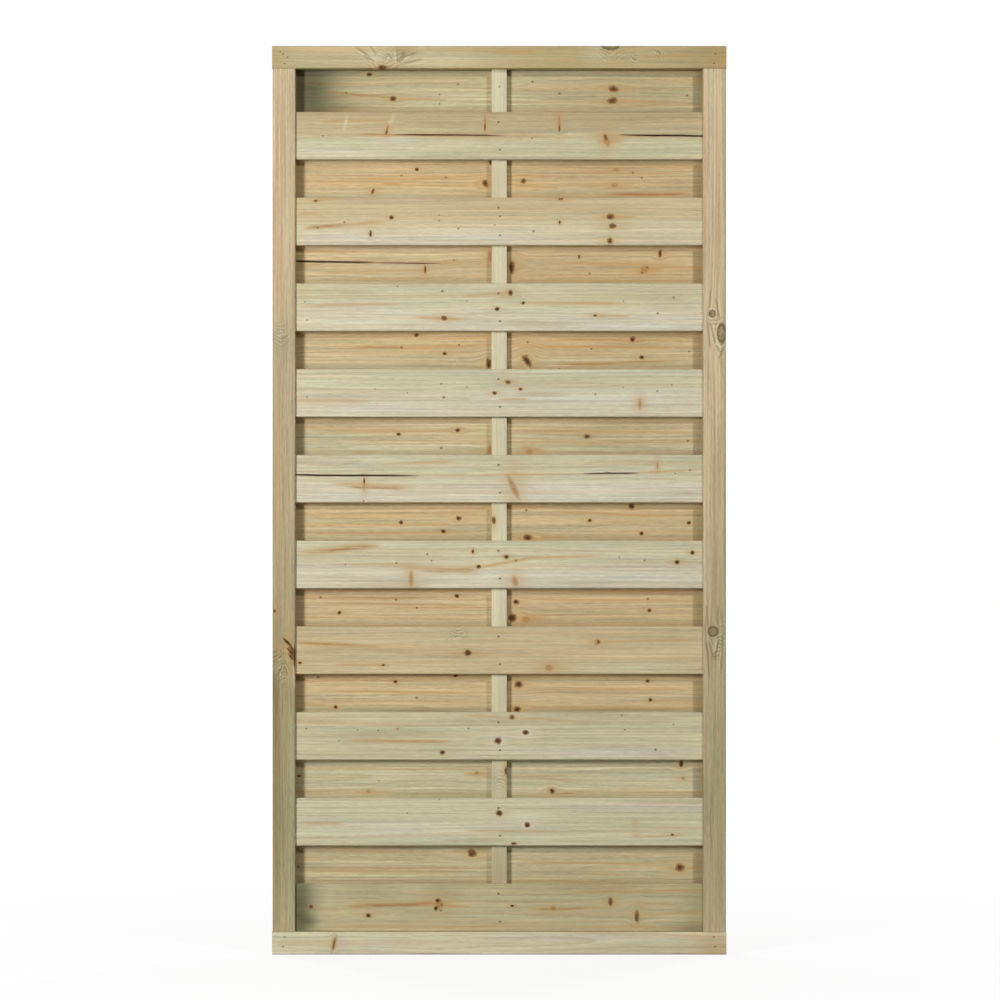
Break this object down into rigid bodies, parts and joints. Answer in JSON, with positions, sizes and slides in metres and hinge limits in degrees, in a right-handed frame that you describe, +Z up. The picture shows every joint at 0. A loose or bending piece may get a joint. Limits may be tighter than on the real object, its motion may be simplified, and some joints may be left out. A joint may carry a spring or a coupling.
{
  "type": "privacy fence panel",
  "caption": "Framed timber privacy fence panel: horizontal slats in two interleaved layers, grooved into the stiles and nailed to a centre batten, so no straight sight line passes through.",
  "frame": {"origin": "middle of the underside of the bottom rail, which stands on the ground", "axes": "+X along the panel's width to the right seen from the front, +Y through it to the back, +Z up"},
  "size_m": [0.9, 0.045, 1.8],
  "materials": {
    "frame_timber": "planed pressure-treated softwood, pale olive, with knots",
    "front_slat_timber": "planed pressure-treated softwood, pale cream, with knots and drying cracks",
    "rear_slat_timber": "planed pressure-treated softwood, warm tan, with knots",
    "batten_timber": "planed pressure-treated softwood, pale",
    "nail_steel": "dull zinc-coated wire nail"
  },
  "bodies": {
    "root": {"top_rail": "frame_timber", "bottom_rail": "frame_timber", "left_stile": "frame_timber", "right_stile": "frame_timber", "centre_batten": "batten_timber", "front_slat_01": "front_slat_timber", "front_slat_02": "front_slat_timber", "front_slat_03": "front_slat_timber", "front_slat_04": "front_slat_timber", "front_slat_05": "front_slat_timber", "front_slat_06": "front_slat_timber", "front_slat_07": "front_slat_timber", "front_slat_08": "front_slat_timber", "front_slat_09": "front_slat_timber", "front_slat_10": "front_slat_timber", "rear_slat_01": "rear_slat_timber", "rear_slat_02": "rear_slat_timber", "rear_slat_03": "rear_slat_timber", "rear_slat_04": "rear_slat_timber", "rear_slat_05": "rear_slat_timber", "rear_slat_06": "rear_slat_timber", "rear_slat_07": "rear_slat_timber", "rear_slat_08": "rear_slat_timber", "rear_slat_09": "rear_slat_timber", "rear_slat_10": "rear_slat_timber", "front_slat_nails": "nail_steel", "rear_slat_nails": "nail_steel", "corner_nails": "nail_steel"}
  },
  "joints": []
}
